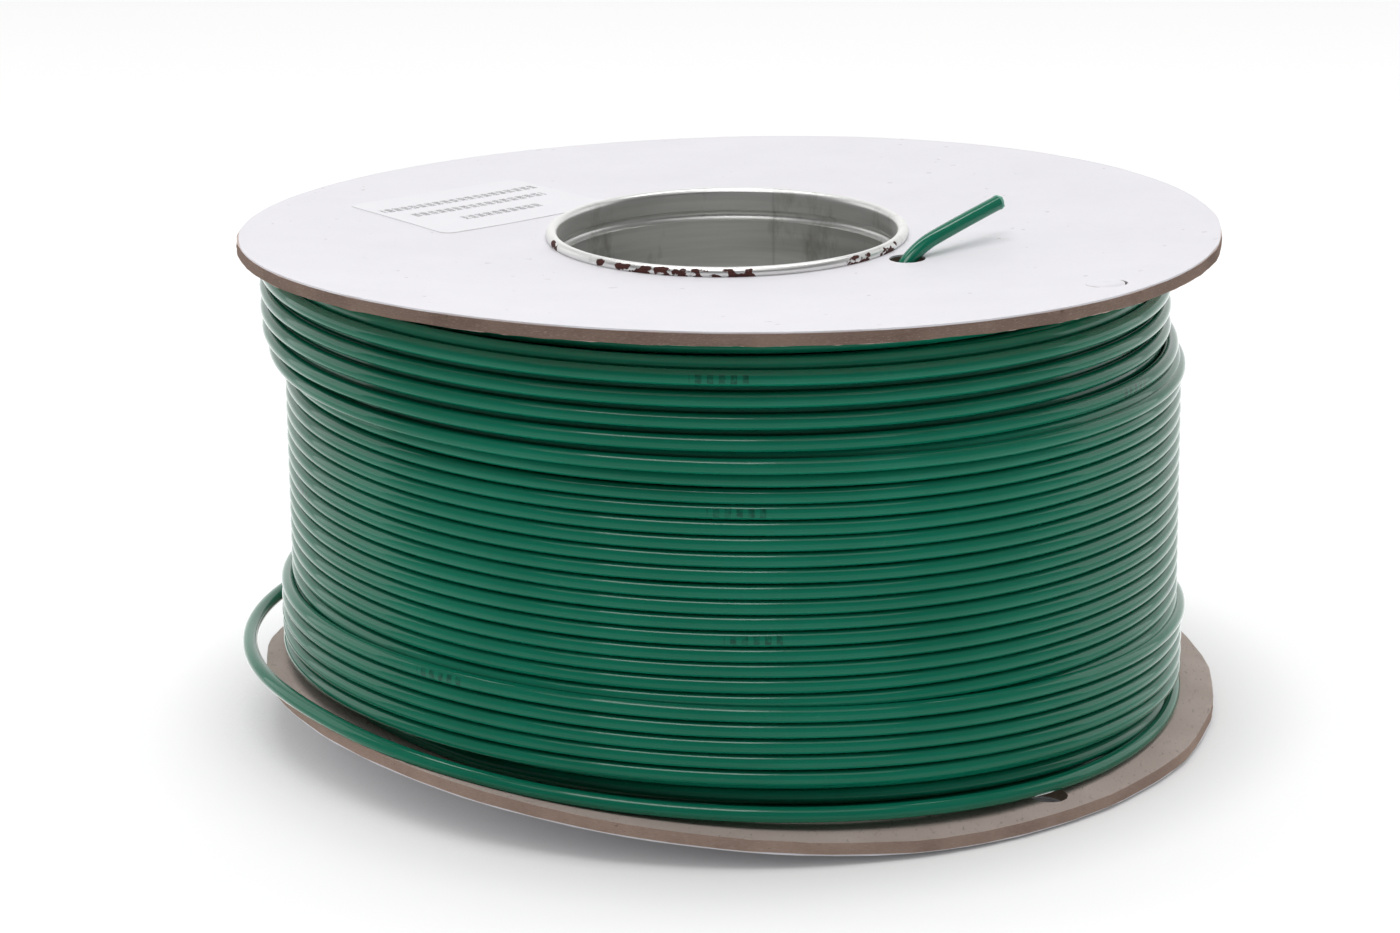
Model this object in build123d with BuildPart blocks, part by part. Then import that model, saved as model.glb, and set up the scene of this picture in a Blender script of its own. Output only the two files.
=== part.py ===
"""Spool of electric wire: two laminated board flanges clamped on a rolled metal core, and a full winding.

Millimetres. +Z is the core's axis. The origin is on the axis, in the plane that the lower flange rests on.
"""
from build123d import *
from math import asin, cos, pi, radians, sin, sqrt, tan
import os

os.makedirs("parts", exist_ok=True)

# --- driving dimensions --------------------------------------------------------------------------
# Flanges: a die-cut disc of grey board with a white paper facing on its outer face
FLANGE_D = 220.0          # outside diameter of both flanges
BOARD_T = 2.6             # grey board
LINER_T = 0.4             # white paper facing
LOW_DISH = 8.0            # how far the full winding has pushed the lower flange's rim outwards
HIGH_DISH = 3.5           # the same at the upper flange
DISH_START_R = 51.0       # both flanges are flat from the core to here
RIM_WIDTH = 14.0          # flat band at the rim, which the spool rests on
START_HOLE_D = 8.0        # hole that the wire's inner end comes out of
START_HOLE_GAP = 3.8      # between its edge and the core
START_HOLE_DEG = -32.0
TIE_HOLE_D = 8.6          # hole near each flange's rim, for tying the outer end
TIE_HOLE_INSET = 10.0     # of its centre from the rim
TOP_TIE_DEG = -37.2
BOTTOM_TIE_DEG = -48.8
SLUG_GAP = 0.15           # die-cut line around a slug that is still in its hole

# Core: one tinplate tube, beaded inside each flange and curled over it
BORE_D = 76.2             # inside diameter, a 3 inch core
SLEEVE_WALL = 0.5
CORE_GAP = 96.0           # between the two flanges' inner faces, at the core
BOARD_FIT = 0.1           # radial play of a flange's centre hole on the core
CURL_R = 1.2              # outer radius of the curl's section
CURL_STAND = 2.0          # how far the curl stands above the flange's face
BEAD_H = 2.6              # height of the bead's section along the axis
BEAD_OUT = 1.3            # how far the bead stands out of the tube

# Winding: round insulated wire
WIRE_D = 3.4
CONDUCTOR_D = 1.2
SHEATH_FIT = 0.01         # radial clearance of the sheath on its conductor
TURN_GAP = 0.02           # between the even turns
WIDE_GAP = 1.35           # between the spread turns under the upper flange
WINDING_R = 100.7         # outside of the last full layer
WINDING_FIT = 0.1         # between the winding and the core, and between it and the flanges
MISSING_TURNS = 3         # turns that the last full layer stops short of the lower flange
WIDE_TURNS = 6            # spread turns that end the last full layer, above the even ones
RAISED_BOTTOM_TURNS = 5   # turns of the layer begun on top of the last full one
RAISED_TOP_TURNS = 5
RAISED_BOTTOM_FIRST = 1   # the lowest raised turn lies above this turn of the last full layer
GROOVE_FLOOR = 0.4        # depth to which the grooves are open, as a share of the wire's radius

# Label: a paper sticker on the upper flange
LABEL_LONG = 48.0
LABEL_WIDE = 38.0
LABEL_CORNER_R = 2.5
LABEL_T = 0.1
LABEL_R = 65.0            # distance of its centre from the axis
LABEL_DEG = 151.6
LABEL_TURN_DEG = 40.0     # turn of its long side from +X

# Free lengths of wire, as points chosen along their routes
START_TAIL_POINTS = [
    (38.6, -26.2, 108.4),
    (41.2, -24.0, 112.0),
    (49.0, -17.4, 115.0),
    (60.4, -6.0, 118.2),
]
OUTER_END_POINTS = [
    (-78.6, 70.8, 19.0),
    (-98.6, 46.5, 18.2),
    (-111.0, 15.8, 17.6),
    (-109.6, -20.4, 17.6),
    (-94.6, -53.0, 17.4),
    (-68.7, -81.8, 15.2),
    (-30.8, -100.7, 12.2),
    (12.8, -104.6, 9.9),
    (53.6, -90.0, 7.4),
    (83.8, -61.6, 5.4),
    (101.2, -23.2, 5.6),
    (102.0, 19.7, 6.8),
    (86.0, 58.4, 7.2),
    (57.0, 87.6, 7.0),
    (23.0, 102.4, 6.8),
]

# --- derived sizes ----------------------------------------------------------------------------------
FLANGE_R = FLANGE_D / 2
FLANGE_T = BOARD_T + LINER_T
BORE_R = BORE_D / 2
SLEEVE_R = BORE_R + SLEEVE_WALL
HOLE_R = SLEEVE_R + BOARD_FIT
RIM_START_R = FLANGE_R - RIM_WIDTH
START_HOLE_R = HOLE_R + START_HOLE_GAP + START_HOLE_D / 2
TIE_HOLE_R = FLANGE_R - TIE_HOLE_INSET
BEAD_R = SLEEVE_R + BEAD_OUT
WIRE_R = WIRE_D / 2
TURN_PITCH = WIRE_D + TURN_GAP
WIDE_PITCH = WIRE_D + WIDE_GAP
LOW_CORE_Z = LOW_DISH + FLANGE_T                  # lower flange's inner face at the core
HIGH_CORE_Z = LOW_CORE_Z + CORE_GAP               # upper flange's inner face at the core
LAST_LAYER_R = WINDING_R - WIRE_R             # centre line of the last full layer
INNER_LAYERS_R = WINDING_R - WIRE_D           # outside of the layers below it
CUT_H = 4 * (FLANGE_T + max(LOW_DISH, HIGH_DISH))    # tall enough to cut through a dished flange
LOW_FLANGE = (LOW_CORE_Z, -1, LOW_DISH)       # inner face at the core, way out, depth of the dish
HIGH_FLANGE = (HIGH_CORE_Z, 1, HIGH_DISH)


def dish_share(radius):
    """Share of a flange's dish that its faces have reached at this radius."""
    return min(max((radius - DISH_START_R) / (RIM_START_R - DISH_START_R), 0.0), 1.0)


def flange_band(flange, inner_side, outer_side, inner_r, outer_r):
    """Closed section of a dished disc, between two distances out from the flange's inner face."""
    core_z, outward, depth = flange
    radii = [inner_r]
    for radius in (DISH_START_R, RIM_START_R):
        if inner_r < radius < outer_r:
            radii.append(radius)
    radii.append(outer_r)
    near = [(radius, core_z + outward * (depth * dish_share(radius) + inner_side)) for radius in radii]
    far = [(radius, core_z + outward * (depth * dish_share(radius) + outer_side)) for radius in radii]
    return near + far[::-1]


def polar(radius, angle_deg):
    return (radius * cos(radians(angle_deg)), radius * sin(radians(angle_deg)))


def finish(piece, name):
    piece.part.label = name
    export_step(piece.part, f"parts/{name}.step")


# --- core sleeve -----------------------------------------------------------------------------------
def curl_corners(face_z, outward):
    """Ends and middles of the curl's two arcs, on a flange whose outer face is at face_z."""
    centre_z = face_z + outward * (CURL_STAND - CURL_R)
    centre_r = BORE_R + CURL_R
    foot_angle = asin((CURL_STAND - CURL_R) / CURL_R)
    arcs = []
    for radius in (CURL_R, CURL_R - SLEEVE_WALL):
        wall = (centre_r - radius, centre_z)
        crown = (centre_r, centre_z + outward * radius)
        foot = (centre_r + radius * cos(foot_angle), centre_z - outward * radius * sin(foot_angle))
        arcs.append((wall, crown, foot))
    return arcs


with BuildPart() as core_sleeve:
    with BuildSketch(Plane.XZ):
        with Locations((BORE_R + SLEEVE_WALL / 2, LOW_CORE_Z + CORE_GAP / 2)):
            Rectangle(SLEEVE_WALL, CORE_GAP + 2 * (FLANGE_T + CURL_STAND - CURL_R))
        # Curls over the flanges' outer faces
        for face_z, outward in ((HIGH_CORE_Z + FLANGE_T, 1), (LOW_CORE_Z - FLANGE_T, -1)):
            outside, inside = curl_corners(face_z, outward)
            with BuildLine():
                ThreePointArc(*outside)
                Line(outside[2], inside[2])
                ThreePointArc(*inside)
                Line(inside[0], outside[0])
            make_face()
        # Beads that back the flanges' inner faces: a ridge outside, a groove inside
        for face_z, inward in ((HIGH_CORE_Z, -1), (LOW_CORE_Z, 1)):
            for wall_r, margin, mode in ((SLEEVE_R, 0, Mode.ADD), (BORE_R, SLEEVE_WALL, Mode.SUBTRACT)):
                near = (wall_r, face_z + inward * margin)
                far = (wall_r, face_z + inward * (BEAD_H - margin))
                with BuildLine():
                    ThreePointArc(near, (wall_r + BEAD_OUT, face_z + inward * BEAD_H / 2), far)
                    Line(far, near)
                make_face(mode=mode)
    revolve(axis=Axis.Z)
finish(core_sleeve, "core_sleeve")


# --- flanges ------------------------------------------------------------------------------------------
def flange_layer(flange, inner_side, outer_side, holes):
    """One layer of a laminated flange, with its die-cut holes as (radius, angle, diameter)."""
    with BuildPart() as layer:
        with BuildSketch(Plane.XZ):
            with BuildLine():
                Polyline(*flange_band(flange, inner_side, outer_side, HOLE_R, FLANGE_R), close=True)
            make_face()
        revolve(axis=Axis.Z)
        for hole_r, hole_deg, hole_d in holes:
            with Locations(Location((*polar(hole_r, hole_deg), flange[0]))):
                Cylinder(hole_d / 2, CUT_H, mode=Mode.SUBTRACT)
    return layer


START_HOLE = (START_HOLE_R, START_HOLE_DEG, START_HOLE_D)
TOP_TIE_HOLE = (TIE_HOLE_R, TOP_TIE_DEG, TIE_HOLE_D)
BOTTOM_TIE_HOLE = (TIE_HOLE_R, BOTTOM_TIE_DEG, TIE_HOLE_D)

top_flange_board = flange_layer(HIGH_FLANGE, 0, BOARD_T, [START_HOLE, TOP_TIE_HOLE])
finish(top_flange_board, "top_flange_board")

top_flange_liner = flange_layer(HIGH_FLANGE, BOARD_T, FLANGE_T, [START_HOLE, TOP_TIE_HOLE])
finish(top_flange_liner, "top_flange_liner")

bottom_flange_board = flange_layer(LOW_FLANGE, 0, BOARD_T, [BOTTOM_TIE_HOLE])
finish(bottom_flange_board, "bottom_flange_board")

bottom_flange_liner = flange_layer(LOW_FLANGE, BOARD_T, FLANGE_T, [BOTTOM_TIE_HOLE])
finish(bottom_flange_liner, "bottom_flange_liner")

# The slug of the upper tie hole, board and facing in one, still sits in its die-cut line
with BuildPart() as tie_hole_slug:
    with BuildSketch(Plane.XZ):
        with BuildLine():
            Polyline(*flange_band(HIGH_FLANGE, 0, FLANGE_T, DISH_START_R, FLANGE_R), close=True)
        make_face()
    revolve(axis=Axis.Z)
    with Locations(Location((*polar(TIE_HOLE_R, TOP_TIE_DEG), HIGH_CORE_Z))):
        Cylinder(TIE_HOLE_D / 2 - SLUG_GAP, CUT_H, mode=Mode.INTERSECT)
finish(tie_hole_slug, "tie_hole_slug")

# The sticker follows the dished face
with BuildPart() as label_sticker:
    with BuildSketch(Plane.XZ):
        with BuildLine():
            Polyline(*flange_band(HIGH_FLANGE, FLANGE_T, FLANGE_T + LABEL_T, HOLE_R, FLANGE_R), close=True)
        make_face()
    revolve(axis=Axis.Z)
    label_centre = (*polar(LABEL_R, LABEL_DEG), HIGH_CORE_Z)
    with BuildSketch(Plane(Location(label_centre, (0, 0, LABEL_TURN_DEG)))):
        RectangleRounded(LABEL_LONG, LABEL_WIDE, LABEL_CORNER_R)
    extrude(amount=CUT_H, mode=Mode.INTERSECT)
finish(label_sticker, "label_sticker")

# --- winding ----------------------------------------------------------------------------------------
# All the layers but the last, as one closed ring that clears the beads
with BuildPart() as inner_layers:
    with BuildSketch(Plane.XZ):
        with BuildLine():
            low_core = LOW_CORE_Z + WINDING_FIT
            high_core = HIGH_CORE_Z - WINDING_FIT
            bend_radii = [DISH_START_R, INNER_LAYERS_R]
            if RIM_START_R < INNER_LAYERS_R:
                bend_radii.insert(1, RIM_START_R)
            low_side = [(radius, low_core - LOW_DISH * dish_share(radius)) for radius in bend_radii]
            high_side = [(radius, high_core + HIGH_DISH * dish_share(radius)) for radius in bend_radii]
            bead_clear = BEAD_H + 2 * WINDING_FIT
            Polyline(
                (BEAD_R + WINDING_FIT, low_core),
                *low_side,
                *high_side[::-1],
                (BEAD_R + WINDING_FIT, high_core),
                (BEAD_R + WINDING_FIT, high_core - bead_clear),
                (SLEEVE_R + WINDING_FIT, high_core - bead_clear),
                (SLEEVE_R + WINDING_FIT, low_core + bead_clear),
                (BEAD_R + WINDING_FIT, low_core + bead_clear),
                close=True,
            )
        make_face()
    revolve(axis=Axis.Z)
finish(inner_layers, "wire_inner_layers")

# The last full layer: even turns from the lower flange up, then the spread ones
low_face_z = LOW_CORE_Z - LOW_DISH * dish_share(INNER_LAYERS_R)
high_face_z = HIGH_CORE_Z + HIGH_DISH * dish_share(INNER_LAYERS_R)
first_turn_z = low_face_z + WINDING_FIT + WIRE_R + MISSING_TURNS * TURN_PITCH
last_turn_limit = high_face_z - WINDING_FIT - WIRE_R
even_height = last_turn_limit - WIDE_TURNS * WIDE_PITCH - first_turn_z
even_z = [first_turn_z + TURN_PITCH * turn for turn in range(1 + int(even_height / TURN_PITCH))]
wide_z = [even_z[-1] + WIDE_PITCH * (turn + 1) for turn in range(WIDE_TURNS)]
layer_z = even_z + wide_z
print(f"last layer: {len(layer_z)} turns, top {layer_z[-1] + WIRE_R:.2f}, flange at {high_face_z:.2f}")

with BuildPart() as last_layer:
    with BuildSketch(Plane.XZ):
        web_r = INNER_LAYERS_R + WINDING_FIT / 2
        web_width = LAST_LAYER_R + GROOVE_FLOOR * WIRE_R - web_r
        with Locations((web_r + web_width / 2, (layer_z[0] + layer_z[-1]) / 2)):
            Rectangle(web_width, layer_z[-1] - layer_z[0])
        with Locations(*[(LAST_LAYER_R + WINDING_FIT / 2, turn_z) for turn_z in layer_z]):
            Circle(WIRE_R)
    revolve(axis=Axis.Z)
finish(last_layer, "wire_last_layer")


def raised_turns(nest_z, pitch):
    """Separate turns that lie in the grooves of the last full layer."""
    height = sqrt(WIRE_D**2 - (pitch / 2) ** 2) + WINDING_FIT
    with BuildPart() as turns:
        for turn_z in nest_z:
            with BuildSketch(Plane.XZ):
                with Locations((LAST_LAYER_R + height, turn_z)):
                    Circle(WIRE_R)
        revolve(axis=Axis.Z)
    return turns


bottom_nests = [
    even_z[RAISED_BOTTOM_FIRST + turn] + TURN_PITCH / 2 for turn in range(RAISED_BOTTOM_TURNS)
]
top_nests = [wide_z[turn] + WIDE_PITCH / 2 for turn in range(RAISED_TOP_TURNS)]
raised_bottom = raised_turns(bottom_nests, TURN_PITCH)
finish(raised_bottom, "wire_raised_turns_bottom")
raised_top = raised_turns(top_nests, WIDE_PITCH)
finish(raised_top, "wire_raised_turns_top")


# --- free lengths of wire -----------------------------------------------------------------------------
def route(points, name):
    """Straight runs joined by the largest tangent arcs that they have room for."""
    corners = [Vector(*point) for point in points]
    radii = []
    for before, here, after in zip(corners, corners[1:], corners[2:]):
        half_turn = radians((here - before).get_angle(after - here)) / 2
        shorter = min((here - before).length, (after - here).length)
        radii.append(0.45 * shorter / tan(half_turn))
    print(name, "arc radii", [round(radius, 1) for radius in radii])
    with BuildLine() as line:
        FilletPolyline(*corners, radius=radii)
    return line


def tube(line, outer_r, inner_r):
    """Round section along a route, bored out where inner_r isn't zero."""
    path = line.wire()
    with BuildPart() as piece:
        with BuildSketch(Plane(origin=path @ 0, z_dir=path % 0)):
            Circle(outer_r)
            if inner_r > 0:
                Circle(inner_r, mode=Mode.SUBTRACT)
        sweep(path=path)
    section = pi * (outer_r**2 - inner_r**2)
    print(f"  length {path.length:.1f}, volume / (section x length) = "
          f"{piece.part.volume / (section * path.length):.4f}")
    return piece


for points, sheath, conductor in (
    (START_TAIL_POINTS, "start_tail_insulation", "start_tail_conductor"),
    (OUTER_END_POINTS, "outer_end_insulation", "outer_end_conductor"),
):
    wire_line = route(points, sheath)
    finish(tube(wire_line, WIRE_R, CONDUCTOR_D / 2 + SHEATH_FIT), sheath)
    finish(tube(wire_line, CONDUCTOR_D / 2, 0), conductor)
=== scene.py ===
"""Looks for the spool of electric wire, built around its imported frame.

Lengths are in millimetres until an object is made; mm() turns them into metres. Angles are in degrees
from +X, counter-clockwise seen from above. The viewer stands on the -Y side.
"""
import math

import bpy
from mathutils import Matrix, Vector, noise
from mathutils.geometry import delaunay_2d_cdt


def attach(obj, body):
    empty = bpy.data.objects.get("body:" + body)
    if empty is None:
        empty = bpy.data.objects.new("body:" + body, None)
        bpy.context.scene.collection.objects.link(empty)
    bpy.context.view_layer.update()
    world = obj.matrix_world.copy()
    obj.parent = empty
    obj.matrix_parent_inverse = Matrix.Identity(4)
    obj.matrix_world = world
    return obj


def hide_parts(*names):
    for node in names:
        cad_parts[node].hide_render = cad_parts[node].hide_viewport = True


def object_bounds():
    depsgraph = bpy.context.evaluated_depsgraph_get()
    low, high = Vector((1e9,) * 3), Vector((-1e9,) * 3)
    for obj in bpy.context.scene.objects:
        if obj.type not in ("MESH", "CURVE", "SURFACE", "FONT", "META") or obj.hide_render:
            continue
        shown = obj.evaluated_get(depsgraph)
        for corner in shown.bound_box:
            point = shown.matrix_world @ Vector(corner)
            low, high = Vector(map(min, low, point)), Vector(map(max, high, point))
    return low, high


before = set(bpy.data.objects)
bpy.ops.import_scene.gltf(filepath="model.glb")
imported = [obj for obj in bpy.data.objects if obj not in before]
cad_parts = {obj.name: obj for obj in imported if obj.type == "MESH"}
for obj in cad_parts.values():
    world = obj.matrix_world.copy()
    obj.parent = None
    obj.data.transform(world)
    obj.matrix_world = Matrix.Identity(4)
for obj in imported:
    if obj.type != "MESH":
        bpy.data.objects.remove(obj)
cad_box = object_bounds()


def mm(*values):
    """Millimetres to metres, as a number or a point."""
    return values[0] / 1000 if len(values) == 1 else Vector(values) / 1000


# --- sizes: the part's own, but for a hair of play and where a line says so -----------------------------
FLANGE_R = 110.0
BOARD_T = 2.6
FLANGE_T = 3.0
LOW_CORE_Z = 11.0         # lower flange's inner face at the core
HIGH_CORE_Z = 107.0       # upper flange's inner face at the core
DISH_START_R = 48.0       # the flanges bend from here, a little further in than in the part
BORE_R = 38.1
SLEEVE_WALL = 0.5
HOLE_R = 38.75
CURL_R = 1.25
CURL_STAND = 2.0
BEAD_H = 2.6
BEAD_OUT = 1.3
START_HOLE = (46.5, -32.0, 4.0)      # distance from the axis, angle, radius
TOP_TIE_HOLE = (100.0, -37.2, 4.3)
BOTTOM_TIE_HOLE = (100.0, -48.8, 4.3)
LABEL_LONG, LABEL_WIDE, LABEL_T = 48.0, 38.0, 0.1
LABEL_CORNER_R = 2.5
LABEL_AT = (65.0, 151.6)             # distance from the axis, angle
LABEL_TURN = 40.0
WIRE_R = 1.7
CONDUCTOR_R = 0.6

# --- camera --------------------------------------------------------------------------------------------
LENS = 111.4
CAMERA_AT = (0.0, -948.3, 332.9)
YAW, PITCH, ROLL = (math.radians(angle) for angle in (0.40, -16.29, 0.60))


def make_camera():
    camera = bpy.data.objects.new("camera", bpy.data.cameras.new("camera"))
    bpy.context.scene.collection.objects.link(camera)
    camera.data.sensor_width = 36.0
    camera.data.lens = LENS
    camera.data.clip_start = 0.05
    turn = Matrix.Rotation(YAW, 3, "Z") @ Matrix.Rotation(PITCH, 3, "X") @ Matrix.Rotation(ROLL, 3, "Y")
    right, ahead, up = turn.col
    facing = Matrix((right, up, -ahead)).transposed().to_4x4()
    camera.matrix_world = Matrix.Translation(mm(*CAMERA_AT)) @ facing
    bpy.context.scene.camera = camera


make_camera()


# --- materials -------------------------------------------------------------------------------------------
class Shader:
    """A material with one Principled shader, and short ways to add nodes to it."""

    def __init__(self, name, **sockets):
        self.material = bpy.data.materials.new(name)
        self.material.use_nodes = True
        self.tree = self.material.node_tree
        self.bsdf = self.tree.nodes["Principled BSDF"]
        for socket, value in sockets.items():
            self.bsdf.inputs[socket.replace("_", " ")].default_value = value
        self.place = self.add("TexCoord").outputs["Object"]

    def add(self, kind, settings=None, **inputs):
        made = self.tree.nodes.new("ShaderNode" + kind)
        for name, value in (settings or {}).items():
            setattr(made, name, value)
        for name, value in inputs.items():
            self.feed(made.inputs[name.replace("_", " ")], value)
        return made

    def feed(self, socket, value):
        if isinstance(value, bpy.types.NodeSocket):
            self.tree.links.new(value, socket)
        else:
            socket.default_value = value

    def feed_bsdf(self, **inputs):
        for name, value in inputs.items():
            self.feed(self.bsdf.inputs[name.replace("_", " ")], value)

    def stretched(self, source, scale):
        return self.add("Mapping", Vector=source, Scale=scale).outputs["Vector"]

    def noise(self, scale, detail=3.0, roughness=0.55, vector=None):
        return self.add(
            "TexNoise", Vector=vector or self.place, Scale=scale, Detail=detail, Roughness=roughness
        ).outputs["Fac"]

    def math(self, operation, first, second=0.0):
        made = self.add("Math", {"operation": operation})
        self.feed(made.inputs[0], first)
        self.feed(made.inputs[1], second)
        return made.outputs[0]

    def within(self, value, middle, reach):
        """1 where value is less than reach away from middle, 0 elsewhere."""
        return self.math("LESS_THAN", self.math("ABSOLUTE", self.math("SUBTRACT", value, middle)), reach)

    def fade(self, value, low, high, to_low=0.0, to_high=1.0):
        """value from low..high onto to_low..to_high, clamped."""
        made = self.add("MapRange")
        for index, amount in enumerate((value, low, high, to_low, to_high)):
            self.feed(made.inputs[index], amount)
        return made.outputs[0]

    def mix(self, factor, first, second):
        made = self.add("Mix", {"data_type": "RGBA"})
        self.feed(made.inputs[0], factor)
        self.feed(made.inputs[6], first)
        self.feed(made.inputs[7], second)
        return made.outputs[2]

    def bump(self, height, depth_mm, strength=1.0):
        made = self.add("Bump", Height=height, Distance=mm(depth_mm), Strength=strength)
        self.feed(self.bsdf.inputs["Normal"], made.outputs["Normal"])


def srgb(red, green, blue):
    """A display colour of 0-255 as the linear colour that a shader takes."""
    linear = [
        (value / 255 / 12.92) if value <= 10 else ((value / 255 + 0.055) / 1.055) ** 2.4
        for value in (red, green, blue)
    ]
    return (*linear, 1.0)


def wire_material():
    """Smooth extruded sheath, with a faint greeked mark every metre of its run."""
    s = Shader("wire_sheath", IOR=1.5, Specular_IOR_Level=0.5)
    tone = s.fade(s.noise(26.0, 2.0), 0.3, 0.7)
    base = s.mix(tone, srgb(13, 114, 87), srgb(17, 125, 97))
    dusty = s.fade(s.noise(420.0, 4.0), 0.66, 0.84, 0.0, 0.1)
    base = s.mix(dusty, base, srgb(120, 160, 148))
    run = s.add("SeparateXYZ", Vector=s.add("UVMap", {"uv_map": "run"}).outputs["UV"])
    along, around = run.outputs["X"], run.outputs["Y"]
    bars = s.math("LESS_THAN", s.math("FRACT", s.math("MULTIPLY", along, 420.0)), 0.55)
    inside = s.within(s.math("FRACT", along), 0.5, 0.006)
    mark = s.math("MULTIPLY", s.math("MULTIPLY", bars, inside), s.within(around, 0.5, 0.1))
    worn = s.math("MULTIPLY", mark, s.fade(s.noise(900.0, 2.0), 0.35, 0.6, 0.15, 0.6))
    base = s.mix(worn, base, srgb(12, 40, 34))
    s.feed_bsdf(Base_Color=base, Roughness=s.fade(s.noise(160.0, 3.0), 0.3, 0.7, 0.07, 0.12))
    s.bump(s.noise(700.0, 3.0), 0.012, 0.35)
    return s.material


def board_material(name, light, dark, edge=False):
    """Grey board: pressed fibres, flecks, and on a cut edge its plies."""
    s = Shader(name, Roughness=0.9, Specular_IOR_Level=0.2)
    cloudy = s.fade(s.noise(60.0, 5.0), 0.3, 0.7)
    base = s.mix(cloudy, light, dark)
    fibre_place = s.stretched(s.place, (1.0, 1.0, 5.0) if edge else (1.0, 0.35, 1.0))
    fibres = s.noise(1100.0, 4.0, 0.7, fibre_place)
    base = s.mix(s.fade(fibres, 0.55, 0.75, 0.0, 0.5), base, srgb(205, 190, 182))
    base = s.mix(s.fade(fibres, 0.42, 0.25, 0.0, 0.55), base, srgb(70, 56, 50))
    flecks = s.fade(s.noise(620.0, 1.0), 0.74, 0.8, 0.0, 0.4)
    base = s.mix(flecks, base, srgb(58, 44, 40))
    s.feed_bsdf(Base_Color=base)
    s.bump(s.math("ADD", fibres, s.noise(260.0, 4.0)), 0.12 if edge else 0.06, 0.8)
    return s.material


def facing_material():
    """White paper laid on the board: near-white with a very faint mottle and a few specks."""
    s = Shader("white_facing", Roughness=0.55, Specular_IOR_Level=0.3)
    mottle = s.fade(s.noise(45.0, 6.0, 0.65), 0.3, 0.7)
    base = s.mix(mottle, srgb(235, 233, 238), srgb(239, 237, 242))
    grain = s.noise(900.0, 3.0)
    base = s.mix(s.fade(grain, 0.6, 0.8, 0.0, 0.2), base, srgb(214, 210, 216))
    base = s.mix(s.fade(s.noise(520.0, 0.0), 0.83, 0.86, 0.0, 0.35), base, srgb(160, 152, 150))
    s.feed_bsdf(Base_Color=base)
    s.bump(s.math("ADD", grain, s.noise(80.0, 3.0)), 0.03, 0.6)
    return s.material


def tin_material():
    """Rolled tinplate with faint drawing lines, brown stains, and rust where the mesh says so."""
    s = Shader("tinplate")
    rings = s.noise(60.0, 4.0, 0.6, s.stretched(s.place, (0.4, 0.4, 9.0)))
    base = s.mix(s.fade(rings, 0.3, 0.7), srgb(222, 223, 220), srgb(240, 240, 238))
    stain = s.fade(s.noise(70.0, 5.0, 0.7, s.stretched(s.place, (1.0, 1.0, 0.4))), 0.56, 0.7, 0.0, 0.45)
    base = s.mix(stain, base, srgb(128, 118, 106))
    base = s.mix(s.add("Attribute", {"attribute_name": "seam"}).outputs["Fac"], base, srgb(70, 70, 66))
    rust = s.fade(s.add("Attribute", {"attribute_name": "rust"}).outputs["Fac"], 0.45, 0.55)
    rust_tone = s.mix(s.noise(800.0, 4.0), srgb(96, 52, 44), srgb(54, 30, 28))
    base = s.mix(rust, base, rust_tone)
    s.feed_bsdf(
        Base_Color=base,
        Metallic=s.math("SUBTRACT", 1.0, rust),
        Roughness=s.math("ADD", s.fade(rings, 0.3, 0.7, 0.32, 0.46), s.math("MULTIPLY", rust, 0.5)),
    )
    s.bump(s.math("ADD", rings, s.math("MULTIPLY", rust, s.noise(600.0, 3.0))), 0.03, 0.5)
    return s.material


LETTER_PITCH, LETTER_H = 2.3, 3.2
LETTER_ROWS = ((-8.4, 11.0), (0.6, 19.0), (8.1, 22.0))      # place across the label, half length


def label_material():
    """White sticker with three lines of greeked print."""
    s = Shader("label_paper", Roughness=0.42, Specular_IOR_Level=0.4)
    spot = s.add("UVMap", {"uv_map": "sticker"}).outputs["UV"]
    place = s.add("SeparateXYZ", Vector=spot)
    along, across = place.outputs["X"], place.outputs["Y"]
    letters = s.math("FRACT", s.math("MULTIPLY", along, 1 / LETTER_PITCH))
    strokes = s.math("LESS_THAN", letters, 0.74)
    speckle = s.add("TexVoronoi", {"voronoi_dimensions": "2D"}, Vector=spot, Scale=1.15)
    shape = s.math("GREATER_THAN", speckle.outputs["Distance"], 0.22)
    ink = s.math("MULTIPLY", strokes, shape)
    rows = 0.0
    for row_at, half_length in LETTER_ROWS:
        in_row = s.within(across, row_at, LETTER_H / 2)
        in_line = s.math("LESS_THAN", s.math("ABSOLUTE", along), half_length)
        rows = s.math("MAXIMUM", rows, s.math("MULTIPLY", in_row, in_line))
    print_here = s.math("MULTIPLY", ink, rows)
    faded = s.math("MULTIPLY", print_here, s.fade(s.noise(300.0, 2.0), 0.3, 0.7, 0.7, 1.0))
    paper = s.mix(s.noise(60.0, 4.0), srgb(236, 234, 239), srgb(240, 239, 243))
    s.feed_bsdf(Base_Color=s.mix(faded, paper, srgb(140, 138, 142)))
    s.bump(s.noise(500.0, 3.0), 0.02, 0.5)
    return s.material


def metal_material():
    """The conductor, seen only at its cut ends."""
    s = Shader("conductor", Metallic=1.0, Roughness=0.35)
    tone = s.fade(s.noise(900.0, 3.0), 0.3, 0.7)
    s.feed_bsdf(Base_Color=s.mix(tone, srgb(196, 150, 122), srgb(214, 190, 172)))
    s.bump(s.noise(1500.0, 3.0), 0.03, 0.6)
    return s.material


def cut_material():
    """Freshly cut sheath: paler and duller than the extruded skin."""
    s = Shader("wire_sheath_cut", Roughness=0.55)
    base = s.mix(s.fade(s.noise(900.0, 3.0), 0.35, 0.65), srgb(92, 168, 142), srgb(150, 205, 186))
    s.feed_bsdf(Base_Color=base)
    s.bump(s.noise(1600.0, 3.0), 0.04, 0.8)
    return s.material


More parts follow.
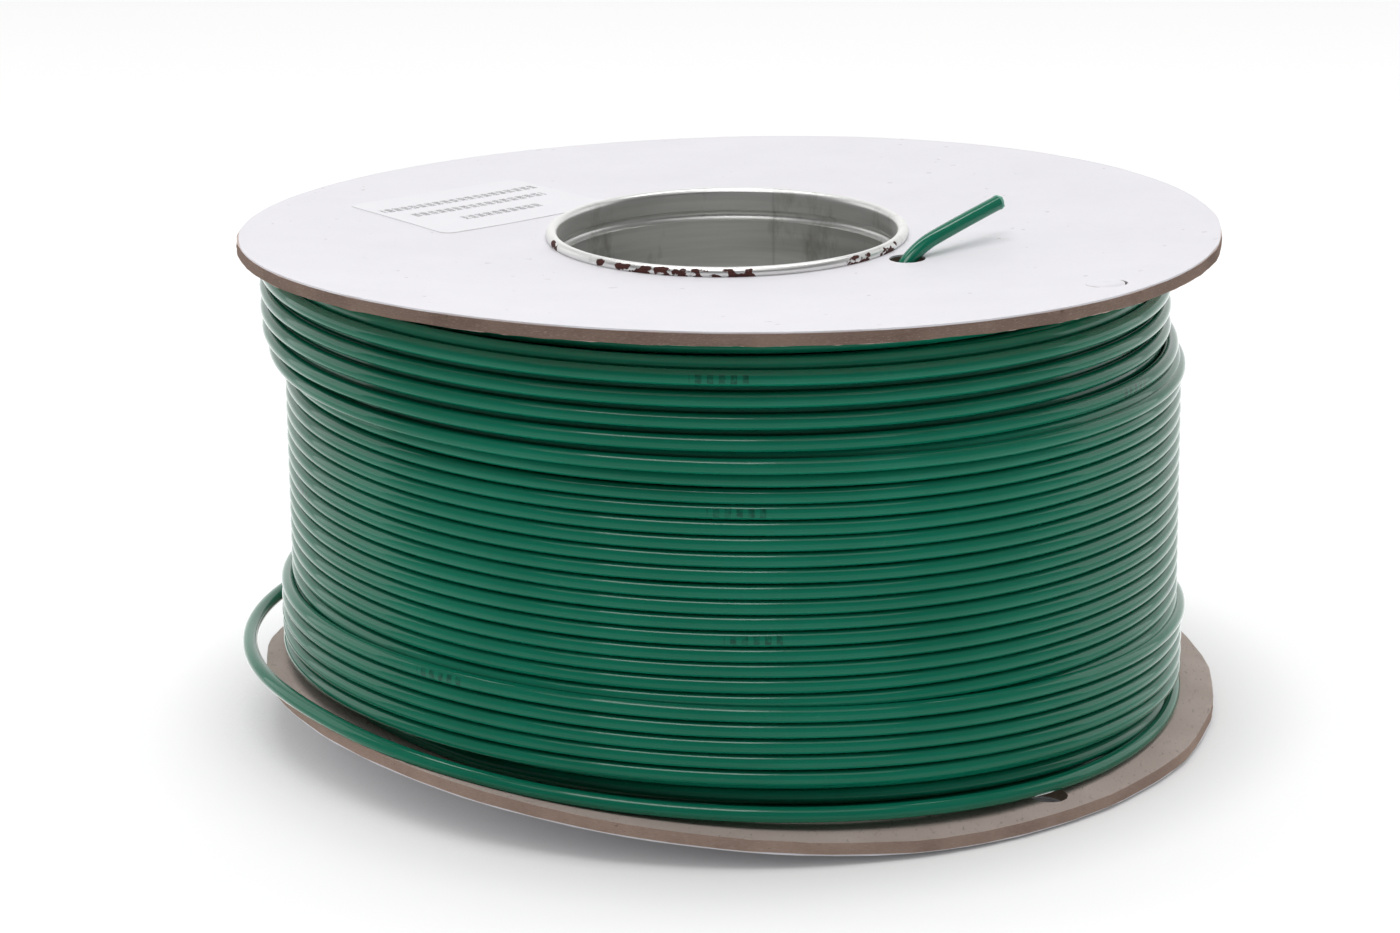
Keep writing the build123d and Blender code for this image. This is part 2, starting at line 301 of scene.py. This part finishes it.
WIRE = wire_material()
BOARD = board_material("grey_board", srgb(222, 203, 196), srgb(208, 188, 180))
BOARD_EDGE = board_material("grey_board_edge", srgb(150, 128, 115), srgb(124, 104, 93), edge=True)
# A lighter copy of the board's cut edge, for the lower flange: painted light from the white floor that this
# edge faces
FLOOR_LIGHT_PAINTED_EDGE = board_material("grey_board_edge_painted_floor_light", srgb(180, 156, 142), srgb(154, 131, 119), edge=True)
FACING = facing_material()
TIN = tin_material()
LABEL = label_material()
METAL = metal_material()
WIRE_CUT = cut_material()


# --- helpers ------------------------------------------------------------------------------------------------
def finish_piece(piece, slot, *nodes):
    """Hides the CAD nodes that a piece stands for and attaches the piece to the root body; slot is not used.
    """
    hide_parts(*nodes)
    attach(piece, "root")
    return piece


def mesh_object(name, points, faces, materials, face_slots=None, smooth=True):
    """A mesh of millimetre points. face_slots says which material each face takes."""
    mesh = bpy.data.meshes.new(name)
    mesh.from_pydata([mm(*point) for point in points], [], faces)
    for material in materials:
        mesh.materials.append(material)
    if face_slots:
        mesh.polygons.foreach_set("material_index", face_slots)
    mesh.polygons.foreach_set("use_smooth", [smooth] * len(mesh.polygons))
    mesh.update()
    made = bpy.data.objects.new(name, mesh)
    bpy.context.scene.collection.objects.link(made)
    return made


def polar(radius, angle):
    return radius * math.cos(math.radians(angle)), radius * math.sin(math.radians(angle))


def smooth_step(value):
    value = min(max(value, 0.0), 1.0)
    return value * value * (3 - 2 * value)


def rough(seed, x, y, z=0.0):
    """Smooth noise from -1 to 1 at a point."""
    return noise.noise(Vector((x + 31.7 * seed, y - 17.3 * seed, z + 5.1 * seed)))


class Warp:
    """How a flange's rim has been pushed out of flat: a mean, a tilt and a saddle."""

    def __init__(self, core_z, outward, mean, along_x, along_y, saddle, twist, centre):
        self.core_z, self.outward = core_z, outward
        self.terms = (mean, along_x, along_y, saddle, twist)
        self.centre = centre

    def out(self, x, y):
        """Distance that the inner face stands out from its height at the core."""
        radius = math.hypot(x, y)
        share = max((radius - DISH_START_R) / (FLANGE_R - DISH_START_R), 0.0) ** 1.25
        a = math.atan2(y, x)
        waves = (1.0, math.cos(a), math.sin(a), math.cos(2 * a), math.sin(2 * a))
        return share * sum(term * wave for term, wave in zip(self.terms, waves))

    def place(self, x, y, lift=0.0):
        """Where a point of the flat flange goes: a layer's rim has shifted a little sideways as it bent."""
        share = max((math.hypot(x, y) - DISH_START_R) / (FLANGE_R - DISH_START_R), 0.0)
        return (x + self.centre[0] * share, y + self.centre[1] * share, self.z(x, y, lift))

    def z(self, x, y, lift=0.0):
        height = self.core_z + self.outward * (self.out(x, y) + lift)
        floor = FLANGE_T - lift
        gap = height - floor
        if self.outward > 0 or gap > FLOOR_EASE:
            return height
        # The lower flange eases on to the floor where it's pushed down furthest
        return floor + FLOOR_EASE**2 / (2 * FLOOR_EASE - gap)


FLOOR_EASE = 1.0          # how far above the floor a pushed rim starts to slow down
TOP = Warp(HIGH_CORE_Z, 1, 2.56, 0.06, -3.32, -0.05, 0.94, (0.5, -0.4))
BOTTOM = Warp(LOW_CORE_Z, -1, 3.37, 4.66, 0.97, -1.66, -3.11, (2.2, 0.0))


# --- flanges ----------------------------------------------------------------------------------------------
def circle_points(centre, radius, count, ragged=0.0, seed=0):
    """Points round a circle, moved in and out by up to ragged."""
    points = []
    for step in range(count):
        angle = 360 * step / count
        x, y = polar(1.0, angle)
        reach = radius + ragged * (
            0.55 * rough(seed, 9 * x, 9 * y) + 0.45 * rough(seed, 60 * x, 60 * y, 3.0)
        )
        points.append((centre[0] + reach * x, centre[1] + reach * y))
    return points


def disc_net(holes, ragged, seed, trim=0.4):
    """Points and triangles of a flat disc with round holes. The outer ring comes first."""
    rim_r, rim_count = FLANGE_R - trim, 540
    points = circle_points((0, 0), rim_r, rim_count, ragged, seed)
    for radius, count in (
        (rim_r - 1.3, rim_count), (106.0, 360), (102.0, 240), (97.0, 240), (92.0, 200), (86.0, 180),
        (80.0, 160), (74.0, 150), (68.0, 140), (62.0, 130), (56.0, 120), (51.0, 110), (47.5, 110),
        (44.0, 120), (41.0, 160),
    ):
        for x, y in circle_points((0, 0), radius, count):
            if all(math.hypot(x - hx, y - hy) > hole_r + 1.2 for hx, hy, hole_r in holes):
                points.append((x, y))
    edges = [(step, (step + 1) % rim_count) for step in range(rim_count)]
    borders = [(hole, 48, 0.12) for hole in holes] + [((0.0, 0.0, HOLE_R), 200, 0.0)]
    for (hx, hy, hole_r), count, torn in borders:
        first = len(points)
        points += circle_points((hx, hy), hole_r, count, torn, seed)
        edges += [(first + step, first + (step + 1) % count) for step in range(count)]
    result = delaunay_2d_cdt([Vector(point) for point in points], edges, [], 0, 1e-4)
    flat = [tuple(vertex) for vertex in result[0]]
    faces = []
    for face in result[2]:
        cx = sum(flat[index][0] for index in face) / 3
        cy = sum(flat[index][1] for index in face) / 3
        if all(math.hypot(cx - hx, cy - hy) >= hole_r - 0.02 for (hx, hy, hole_r), _, _ in borders):
            faces.append(tuple(face))
    return flat, faces


WALL_ROWS = 4             # rows of faces in a flange layer's edge


def flange_layer(name, warp, sides, holes, net, materials, slot, node, edge_rough=0.0):
    """One layer of a flange: two warped faces and the walls between, sides away from the inner face."""
    flat, triangles = net
    near, far = sides
    count = len(flat)
    borders = {}
    for face in triangles:
        for index in range(3):
            edge = (face[index], face[(index + 1) % 3])
            if edge[::-1] in borders:
                del borders[edge[::-1]]
            else:
                borders[edge] = True
    border_points = sorted({index for edge in borders for index in edge})
    points = []
    for x, y in flat:
        at_rim = max((math.hypot(x, y) - FLANGE_R + 3.0) / 3.0, 0.0)
        nicks = 0.5 * rough(11, 0.5 * x, 0.5 * y) - 0.4 * max(rough(12, 0.12 * x, 0.12 * y), 0.0)
        points.append(warp.place(x, y, near + edge_rough * at_rim * nicks))
    points += [warp.place(x, y, far) for x, y in flat]
    row_start = {}
    for row in range(1, WALL_ROWS):
        for index in border_points:
            x, y = flat[index]
            radius = math.hypot(x, y)
            if radius > FLANGE_R - 4:
                fray = 0.6 * rough(row, 1.1 * x, 1.1 * y) + 0.4 * rough(row, 0.25 * x, 0.25 * y)
                push = 1 + edge_rough * fray / radius
                x, y = x * push, y * push
            row_start[row, index] = len(points)
            points.append(warp.place(x, y, near + (far - near) * row / WALL_ROWS))
    row_start.update({(0, index): index for index in border_points})
    row_start.update({(WALL_ROWS, index): index + count for index in border_points})
    upper_first = warp.outward > 0
    faces, face_slots = [], []
    for face in triangles:
        low, high = face[::-1], tuple(index + count for index in face)
        faces += [low, high] if upper_first else [low[::-1], high[::-1]]
        face_slots += [0, 0]
    for a, b in borders:
        for row in range(WALL_ROWS):
            quad = (row_start[row, a], row_start[row, b], row_start[row + 1, b], row_start[row + 1, a])
            faces.append(quad if upper_first else quad[::-1])
            face_slots.append(len(materials) - 1)
    made = mesh_object(name, points, faces, materials, face_slots)
    made.data.set_sharp_from_angle(angle=math.radians(40))
    return finish_piece(made, slot, node)


def hole_at(hole):
    """A hole's centre and radius in plan."""
    return (*polar(hole[0], hole[1]), hole[2])


top_holes = [hole_at(START_HOLE), hole_at(TOP_TIE_HOLE)]
bottom_holes = [hole_at(BOTTOM_TIE_HOLE)]
flange_layer("top_board", TOP, (0.0, BOARD_T), top_holes, disc_net(top_holes, 0.9, 1),
             [BOARD, BOARD_EDGE], "grey_board", "top_flange_board", 0.5)
flange_layer("top_facing", TOP, (BOARD_T, FLANGE_T), top_holes, disc_net(top_holes, 0.35, 2),
             [FACING], "white_facing", "top_flange_liner", 0.05)
# The lower board's edge takes the lighter copy of the edge colour, which is painted floor light
flange_layer("bottom_board", BOTTOM, (0.0, BOARD_T), bottom_holes, disc_net(bottom_holes, 1.0, 3, 1.6),
             [BOARD, FLOOR_LIGHT_PAINTED_EDGE], "grey_board", "bottom_flange_board", 0.5)
flange_layer("bottom_facing", BOTTOM, (BOARD_T, FLANGE_T), bottom_holes, disc_net(bottom_holes, 0.6, 4, 1.7),
             [FACING], "white_facing", "bottom_flange_liner", 0.1)


def make_slug():
    """The die-cut slug, still in its hole: a shallow dome pressed down along its near right side."""
    hx, hy, hole_r = hole_at(TOP_TIE_HOLE)
    rings, steps = 9, 64
    points, faces, face_slots = [], [], []
    for ring in range(rings + 1):
        radius = (hole_r - 0.12) * (ring + 0.001) / rings
        for step in range(steps):
            x, y = polar(radius, 360 * step / steps)
            dent = max((x - y) / (1.414 * hole_r), 0.0) ** 2
            fall = 0.5 * dent * (ring / rings) ** 2
            rise = 0.14 * math.sin(math.pi * ring / rings)
            points.append((hx + x, hy + y, TOP.z(hx + x, hy + y, FLANGE_T) + rise - fall))
    for ring in range(rings):
        for step in range(steps):
            after = (step + 1) % steps
            a, b = ring * steps + step, ring * steps + after
            faces.append((a, a + steps, b + steps, b))
            face_slots.append(0)
    above = rings * steps
    for lift in (1.5, 0.1):
        start = len(points)
        for step in range(steps):
            x, y, _ = points[rings * steps + step]
            points.append((x, y, TOP.z(x, y, lift)))
        for step in range(steps):
            after = (step + 1) % steps
            faces.append((above + step, start + step, start + after, above + after))
            face_slots.append(1)
        above = start
    faces.append(tuple(start + step for step in range(steps))[::-1])
    face_slots.append(1)
    made = mesh_object("tie_hole_slug_piece", points, faces, [FACING, BOARD_EDGE], face_slots)
    made.data.set_sharp_from_angle(angle=math.radians(50))
    finish_piece(made, "white_facing", "tie_hole_slug")


make_slug()


def make_label():
    """A rounded paper sticker on the dished face, its near corner a little lifted."""
    cx, cy = polar(*LABEL_AT)
    cosine, sine = polar(1.0, LABEL_TURN)
    columns, rows = 64, 52
    points, faces, places = [], [], []

    def squared(u, v):
        """Moves a point of the full rectangle in to the rounded outline."""
        limit_u, limit_v = LABEL_LONG / 2 - LABEL_CORNER_R, LABEL_WIDE / 2 - LABEL_CORNER_R
        du, dv = abs(u) - limit_u, abs(v) - limit_v
        if du > 0 and dv > 0:
            scale = max(du, dv) / math.hypot(du, dv)
            u = math.copysign(limit_u + du * scale, u)
            v = math.copysign(limit_v + dv * scale, v)
        return u, v

    for side in (0.0, LABEL_T):
        for row in range(rows + 1):
            for column in range(columns + 1):
                u, v = squared(LABEL_LONG * (column / columns - 0.5), LABEL_WIDE * (row / rows - 0.5))
                x, y = cx + u * cosine - v * sine, cy + u * sine + v * cosine
                near_corner = math.hypot(u - LABEL_LONG / 2, v + LABEL_WIDE / 2)
                lifted = 0.9 * max(1 - near_corner / 9.0, 0.0) ** 2
                ripple = 0.03 * max(rough(9, 0.2 * x, 0.2 * y), 0.0)
                points.append((x, y, TOP.z(x, y, FLANGE_T + 0.03 + side) + lifted + ripple))
                places.append((u, v))
    half, width = (rows + 1) * (columns + 1), columns + 1
    for row in range(rows):
        for column in range(columns):
            a = row * width + column
            faces.append((a + width, a + width + 1, a + 1, a))
            faces.append((half + a, half + a + 1, half + a + width + 1, half + a + width))
    outline = list(range(columns))
    outline += [columns + width * row for row in range(rows)]
    outline += [rows * width + columns - column for column in range(columns)]
    outline += [width * (rows - row) for row in range(rows)]
    for a, b in zip(outline, outline[1:] + outline[:1]):
        faces.append((a, b, half + b, half + a))
    made = mesh_object("label", points, faces, [LABEL])
    layer = made.data.uv_layers.new(name="sticker")
    for loop in made.data.loops:
        layer.data[loop.index].uv = places[loop.vertex_index]
    made.data.set_sharp_from_angle(angle=math.radians(50))
    finish_piece(made, "label_paper", "label_sticker")


make_label()


# --- core ------------------------------------------------------------------------------------------------
def curl_arc(centre_z, outward, radius):
    """Points of the curl, from the tube's wall over the crown to its foot on the facing."""
    foot = math.degrees(math.asin((CURL_STAND - CURL_R) / CURL_R))
    points = []
    for step in range(15):
        angle = math.radians(180 - (180 + foot) * step / 14)
        r = BORE_R + CURL_R + radius * math.cos(angle)
        points.append((r, centre_z + outward * radius * math.sin(angle)))
    return points


def core_profile(inset):
    """The tube's section from its lower curl's foot to its upper one's; inset is 0 or the wall."""
    wall_r = BORE_R + inset
    low_face, high_face = LOW_CORE_Z - FLANGE_T, HIGH_CORE_Z + FLANGE_T
    low = curl_arc(low_face - (CURL_STAND - CURL_R), -1, CURL_R - inset)[::-1]
    high = curl_arc(high_face + CURL_STAND - CURL_R, 1, CURL_R - inset)
    middle = [(wall_r, low_face + 1.5)]
    for start, end in ((LOW_CORE_Z, LOW_CORE_Z + BEAD_H), (HIGH_CORE_Z - BEAD_H, HIGH_CORE_Z)):
        for step in range(11):
            share = step / 10
            bulge = (BEAD_OUT - 0.1) * math.sin(math.pi * share) ** 0.8
            middle.append((wall_r + bulge, start + (end - start) * share))
        if start == LOW_CORE_Z:
            middle += [(wall_r, start + BEAD_H + rise) for rise in range(4, 84, 8)]
    middle.append((wall_r, high_face - 1.0))
    return low + middle + high


SEAM_DEG = 73.5
# Rust on the upper curl: middle and half width in degrees, strength
RUST_SPANS = ((-161, 4, 2.0), (-132, 4, 1.1), (-120, 8, 1.7), (-108, 7, 1.4), (-91, 12, 2.0),
              (-43, 9, 1.2), (-28, 8, 1.2), (-7, 4, 0.8), (60, 8, 0.9), (140, 6, 1.0))


def make_core():
    inner, outer = core_profile(0.0), core_profile(SLEEVE_WALL)
    section = inner + outer[::-1]
    steps, count = 720, len(section)
    points, faces, rust, seam = [], [], [], []
    for step in range(steps):
        angle = 360 * step / steps
        x, y = polar(1.0, angle)
        oval = 0.12 * math.cos(math.radians(2 * angle - 40))
        for index, (radius, z) in enumerate(section):
            dent = 0.05 * rough(4, 3 * x, 3 * y, 0.05 * z) + oval
            points.append(((radius + dent) * x, (radius + dent) * y, z))
            near = 0.0
            for at, half, strength in RUST_SPANS:
                away = abs((angle - at + 180) % 360 - 180)
                near = max(near, strength * max(1 - (away / half) ** 2, 0.0))
            foot = max((radius - (BORE_R + 1.6)) / 0.7, 0.0) if z > 100 else 0.0
            patchy = 0.62 + 1.0 * rough(6, 22 * x, 22 * y, 0.8 * z) + 0.45 * rough(8, 70 * x, 70 * y, 2 * z)
            rust.append(min(near, 1.0) * min(foot, 1.0) * patchy if near else 0.0)
            off_seam = abs((angle - SEAM_DEG + 180) % 360 - 180)
            seam.append(0.2 * max(1 - off_seam / 0.7, 0.0))
    for step in range(steps):
        after = (step + 1) % steps
        for index in range(count):
            following = (index + 1) % count
            faces.append((step * count + index, after * count + index,
                          after * count + following, step * count + following))
    made = mesh_object("core_tube", points, [face[::-1] for face in faces], [TIN])
    for name, values in (("rust", rust), ("seam", seam)):
        made.data.attributes.new(name, "FLOAT", "POINT").data.foreach_set("value", values)
    made.data.set_sharp_from_angle(angle=math.radians(50))
    finish_piece(made, "tinplate", "core_sleeve")


make_core()


# --- winding ------------------------------------------------------------------------------------------------
EVEN_TILT = (-0.0207, -0.004)      # rise per millimetre along x and y, of the even turns
SUNK_TILT = (-0.036, -0.03)        # the same, of the lowest turns, which have sunk in
LOOSE_TILT = (-0.0477, -0.03)      # the same, of the turns lying over them near the lower flange


def tube_mesh(path, sides, run):
    """Points, faces and UVs (metres along from run, share around) of the wire along a millimetre path."""
    points, faces, places = [], [], []
    last = len(path) - 1
    for index, here in enumerate(path):
        ahead = path[min(index + 1, last)] - path[max(index - 1, 0)]
        run += (here - path[index - 1]).length / 1000 if index else 0.0
        ahead.normalize()
        outside = Vector((here.x, here.y, 0))
        outside -= ahead * outside.dot(ahead)
        outside.normalize()
        side = ahead.cross(outside)
        for step in range(sides):
            angle = 2 * math.pi * step / sides
            points.append(here + WIRE_R * (math.cos(angle) * outside + math.sin(angle) * side))
            places.append((run, (step / sides + 0.5) % 1.0))
    for index in range(last):
        for step in range(sides):
            after = (step + 1) % sides
            a, b = index * sides, (index + 1) * sides
            faces.append((a + step, a + after, b + after, b + step))
    faces.append(tuple(range(sides))[::-1])
    faces.append(tuple(last * sides + step for step in range(sides)))
    return points, faces, places


def wire_object(name, path, sides, node, run):
    """Wound wire as one piece. run is the metre mark that its first end lies at."""
    points, faces, places = tube_mesh(path, sides, run)
    made = mesh_object(name, points, faces, [WIRE])
    layer = made.data.uv_layers.new(name="run")
    for polygon in made.data.polygons:
        for loop in polygon.loop_indices:
            u, v = places[made.data.loops[loop].vertex_index]
            if len(polygon.vertices) == 4:
                # A side face that spans the UV's seam takes all its corners past 1
                others = [places[made.data.loops[other].vertex_index][1] for other in polygon.loop_indices]
                if max(others) - min(others) > 0.5 and v < 0.5:
                    v += 1.0
            layer.data[loop].uv = (u, v)
    finish_piece(made, "wire_sheath", node)


def between_flanges(x, y, z, clear):
    """Keeps a wire's centre between the two warped flanges."""
    return min(max(z, BOTTOM.z(x, y) + clear), TOP.z(x, y) - clear)


def coil(turns, z_at, radius_at, centre_at, steps=180, start_deg=90.0, way=1, seed=0, tilt_at=None):
    """A path that winds counter-clockwise (way 1). The _at functions take the turns done so far."""
    path = []
    for index in range(round(turns * steps) + 1):
        done = index / steps
        angle = start_deg + way * 360 * done
        radius = radius_at(done)
        x, y = polar(radius, angle)
        shift = centre_at(done)
        x, y = x + shift[0], y + shift[1]
        wander = 0.14 * rough(seed, 0.02 * x, 0.02 * y, 1.3 * done)
        tilt = tilt_at(done) if tilt_at else EVEN_TILT
        z = z_at(done) + tilt[0] * x + tilt[1] * y + wander
        held = between_flanges(x, y, z, WIRE_R + 0.05)
        # Turns that a flange crowds slip inwards
        inward = 1 - min(0.6 * abs(held - z), 6.0) / radius
        path.append(Vector((x * inward, y * inward, held)))
    return path


EVEN_TOP_Z, EVEN_PITCH, WIDE_PITCH = 81.2, 3.42, 4.75
WIDE_TURNS = 5.6          # last full layer: spread turns, before the even ones
SINK_FROM, SINK_TURNS = 20.6, 1.2       # below this many turns it sinks in, over so many more
LAST_SPREAD, RAISED_SPREAD = 3.2, 2.8   # turns that are pushed over, in the last layer and above it
SPREAD_FADE = 1.8                       # turns over which that passes off


def last_layer_z(done):
    """Height of the last full layer's turns: spread under the upper flange, then even."""
    if done < WIDE_TURNS:
        return EVEN_TOP_Z + WIDE_PITCH * (WIDE_TURNS - done)
    return EVEN_TOP_Z - EVEN_PITCH * (done - WIDE_TURNS)


def sunk_share(done):
    """0 down to SINK_FROM, 1 where the last layer's turns have sunk in."""
    return smooth_step((done - SINK_FROM) / SINK_TURNS)


def spread_share(done, last):
    """1 down to last, where the turns are spread and pushed over to the left, 0 where they are even."""
    return 1 - smooth_step((done - last) / SPREAD_FADE)


def last_layer_tilt(done):
    return tuple(even + sunk_share(done) * (sunk - even) for even, sunk in zip(EVEN_TILT, SUNK_TILT))


def last_layer_radius(done):
    return 99.4 - 1.4 * spread_share(done, LAST_SPREAD) - 1.4 * sunk_share(done)


def last_layer_centre(done):
    return 1.1 - 3.8 * spread_share(done, LAST_SPREAD) + 0.6 * sunk_share(done), 0.0


def make_last_layer():
    path = coil(28.4, last_layer_z, last_layer_radius, last_layer_centre, seed=1, tilt_at=last_layer_tilt)
    wire_object("winding_last_layer", path, 12, "wire_last_layer", 0.854)


def make_under_layer():
    """The layer below the last one, wound the other way, which shows between its turns."""
    path = coil(28.5, lambda done: 110.0 - 3.5 * done, lambda done: 94.8, lambda done: (-0.4, 0.0),
                steps=140, start_deg=70, way=-1, seed=2)
    wire_object("winding_under_layer", path, 8, "wire_inner_layers", 0.6)


def make_raised_top():
    """Five turns of the next layer, spread under the upper flange."""
    def radius_at(done):
        return 101.4 - 0.9 * spread_share(done, RAISED_SPREAD)

    def centre_at(done):
        return -0.1 - 2.6 * spread_share(done, RAISED_SPREAD), -0.2

    path = coil(5.2, lambda done: 105.6 - 4.6 * done, radius_at, centre_at, start_deg=100, seed=3)
    wire_object("winding_raised_top", path, 14, "wire_raised_turns_top", 0.202)


def make_raised_bottom():
    """Five turns that climb again over the last full layer; the fifth leads out to the free end."""
    turns, front_at, pitch, front_z = 5.2, 4.567, 3.5, 28.9     # front_z: height after front_at turns

    def radius_at(done):
        return 101.2 + 3.2 * smooth_step((done - front_at - 0.12) / 0.35)

    path = coil(turns, lambda done: front_z - pitch * (front_at - done), radius_at,
                lambda done: (0.4, 0.0), start_deg=138 - 360 * turns, seed=4, tilt_at=lambda done: LOOSE_TILT)
    # The last stretch bends over to where the free end begins
    steps = round((turns - front_at - 0.2) * 180)
    miss = Vector(OUTER_END_POINTS[0]) - path[-1]
    for index in range(steps):
        path[len(path) - steps + index] += miss * smooth_step((index + 1) / steps)
    wire_object("winding_raised_bottom", path, 14, "wire_raised_turns_bottom", 0.66)


# --- free lengths of wire -------------------------------------------------------------------------------
START_TAIL_POINTS = [
    (38.6, -26.2, 108.4), (41.2, -24.0, 112.0), (49.0, -17.4, 115.0), (60.4, -6.0, 118.2),
]
OUTER_END_POINTS = [
    (-78.6, 70.8, 19.0), (-98.6, 46.5, 18.2), (-111.0, 15.8, 17.6), (-109.6, -20.4, 17.6),
    (-94.6, -53.0, 17.4), (-68.7, -81.8, 15.2), (-30.8, -100.7, 12.2), (12.8, -104.6, 9.9),
    (53.6, -90.0, 7.4), (83.8, -61.6, 5.4), (101.2, -23.2, 5.6), (102.0, 19.7, 6.8),
    (86.0, 58.4, 7.2), (57.0, 87.6, 7.0), (23.0, 102.4, 6.8),
]


def spline_object(name, points, radius, material):
    """A round solid line along a smooth route past the points."""
    curve = bpy.data.curves.new(name, "CURVE")
    curve.dimensions = "3D"
    spline = curve.splines.new("NURBS")
    spline.points.add(len(points) - 1)
    for point, place in zip(spline.points, points):
        point.co = (*mm(*place), 1.0)
    spline.order_u = 3
    spline.use_endpoint_u = True
    spline.resolution_u = 24
    curve.bevel_depth = mm(radius)
    curve.bevel_resolution = 5
    curve.use_fill_caps = True
    curve.materials.append(material)
    made = bpy.data.objects.new(name, curve)
    bpy.context.scene.collection.objects.link(made)
    return made


def conductor(name, points, node):
    """The conductor: its line inside the sheath, a hair longer so that it shows at the cut end."""
    end = Vector(points[-1])
    ahead = (end - Vector(points[-2])).normalized()
    made = spline_object(name, points[:-1] + [tuple(end + 0.25 * ahead)], CONDUCTOR_R, METAL)
    return finish_piece(made, "conductor", node)


def free_wire(name, points, sheath_node, conductor_node):
    sheath = spline_object(name, points, WIRE_R, WIRE)
    finish_piece(sheath, "wire_sheath", sheath_node)
    core = conductor(name + "_core_wire", points, conductor_node)
    cut = cut_end(name + "_cut", points)


def cut_end(name, points):
    """The torn rim that side cutters leave on the sheath."""
    end = Vector(points[-1])
    ahead = (end - Vector(points[-2])).normalized()
    side = ahead.orthogonal().normalized()
    up = ahead.cross(side)
    steps = 40
    verts, faces = [], []
    # Radius, place along the wire from its end, and raggedness of each ring, from outside to inside
    rings = (
        (WIRE_R + 0.01, -0.5, 0.0), (WIRE_R + 0.06, 0.0, 0.12), (WIRE_R - 0.12, 0.32, 0.38),
        (WIRE_R - 0.55, 0.12, 0.2), (CONDUCTOR_R + 0.02, -0.02, 0.05), (CONDUCTOR_R + 0.02, -0.3, 0.0),
    )
    for ring, (radius, forward, ragged) in enumerate(rings):
        for step in range(steps):
            angle = 2 * math.pi * step / steps
            tooth = ragged * rough(ring, 2.2 * math.cos(angle), 2.2 * math.sin(angle), end.x)
            radial = math.cos(angle) * side + math.sin(angle) * up
            verts.append(end + radial * (radius + 0.3 * tooth) + ahead * (forward + tooth))
    for ring in range(len(rings)):
        for step in range(steps):
            after = (step + 1) % steps
            a, b = ring * steps, ((ring + 1) % len(rings)) * steps
            faces.append((a + step, a + after, b + after, b + step))
    made = mesh_object(name, verts, faces, [WIRE_CUT])
    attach(made, "root")
    return made


make_last_layer()
make_under_layer()
make_raised_top()
make_raised_bottom()
free_wire("start_tail", START_TAIL_POINTS, "start_tail_insulation", "start_tail_conductor")
free_wire("outer_end", OUTER_END_POINTS, "outer_end_insulation", "outer_end_conductor")


# --- studio: metres here -----------------------------------------------------------------------------------
WHITE = (1.0, 1.0, 1.0, 1.0)
FLOOR_HALF = 3.0
# Name, place, what it points at, size, watts
LIGHTS = (
    ("overhead", (0.0, 0.3, 1.3), (0.0, 0.0, 0.05), (1.5, 0.3), 6.8),
    ("front_strip", (0.0, -0.62, 1.2), (0.0, -0.1, 0.05), (1.8, 0.5), 2.3),
    ("front_box", (-0.13, -0.5, 1.2), (0.0, -0.1, 0.05), (0.7, 0.42), 3.1),
    ("left_box", (-1.15, 0.42, 0.45), (0.0, 0.0, 0.05), (0.8, 1.0), 2.2),
    ("right_box", (1.15, 0.42, 0.45), (0.0, 0.0, 0.05), (0.8, 1.0), 2.0),
)
# Backdrop strength, added up over: axis of the direction, from, to, strength there and there
BACKDROP = (("Y", -0.7, 0.45, 0.07, 0.28), ("Y", 0.45, 0.95, 0.0, 0.95), ("Z", 0.0, -0.25, 0.0, 0.3))


def area_light(name, at, towards, size, power):
    light = bpy.data.lights.new(name, "AREA")
    light.shape = "RECTANGLE"
    light.size, light.size_y = size
    light.energy = power
    made = bpy.data.objects.new(name, light)
    bpy.context.scene.collection.objects.link(made)
    made.location = at
    made.rotation_euler = (Vector(towards) - Vector(at)).to_track_quat("-Z", "Y").to_euler()


def make_floor():
    """White lit paper. It glows less where the spool shades it, and the glossy wire doesn't mirror it."""
    z = cad_box[0][2] - 0.0002
    corners = [(x * FLOOR_HALF * 1000, y * FLOOR_HALF * 1000, z * 1000)
               for x, y in ((-1, -1), (1, -1), (1, 1), (-1, 1))]
    floor = mesh_object("floor", corners, [(0, 1, 2, 3)], [])
    s = Shader("floor_paper", Roughness=0.9)
    s.feed_bsdf(Base_Color=s.mix(s.noise(3.0, 2.0), (0.50, 0.50, 0.50, 1.0), (0.52, 0.52, 0.52, 1.0)))
    open_sky = s.add("AmbientOcclusion", {"samples": 8}, Distance=0.035).outputs["AO"]
    s.feed_bsdf(Emission_Color=WHITE, Emission_Strength=s.math("MULTIPLY", open_sky, 0.62))
    floor.data.materials.append(s.material)
    floor.visible_glossy = False


def make_backdrop():
    """A dim studio that brightens behind the spool, for the gloss along its outline."""
    world = bpy.data.worlds.new("studio")
    bpy.context.scene.world = world
    world.use_nodes = True
    nodes, links = world.node_tree.nodes, world.node_tree.links
    direction = nodes.new("ShaderNodeSeparateXYZ")
    links.new(nodes.new("ShaderNodeTexCoord").outputs["Generated"], direction.inputs[0])
    strength = None
    for axis, *span in BACKDROP:
        fall = nodes.new("ShaderNodeMapRange")
        links.new(direction.outputs[axis], fall.inputs[0])
        for index, amount in enumerate(span):
            fall.inputs[index + 1].default_value = amount
        if strength is not None:
            total = nodes.new("ShaderNodeMath")
            links.new(strength, total.inputs[0])
            links.new(fall.outputs[0], total.inputs[1])
            strength = total.outputs[0]
        else:
            strength = fall.outputs[0]
    background = nodes["Background"]
    background.inputs["Color"].default_value = WHITE
    links.new(strength, background.inputs["Strength"])


def make_studio():
    bpy.context.scene.view_settings.view_transform = "Standard"
    make_floor()
    make_backdrop()
    for light in LIGHTS:
        area_light(*light)


make_studio()
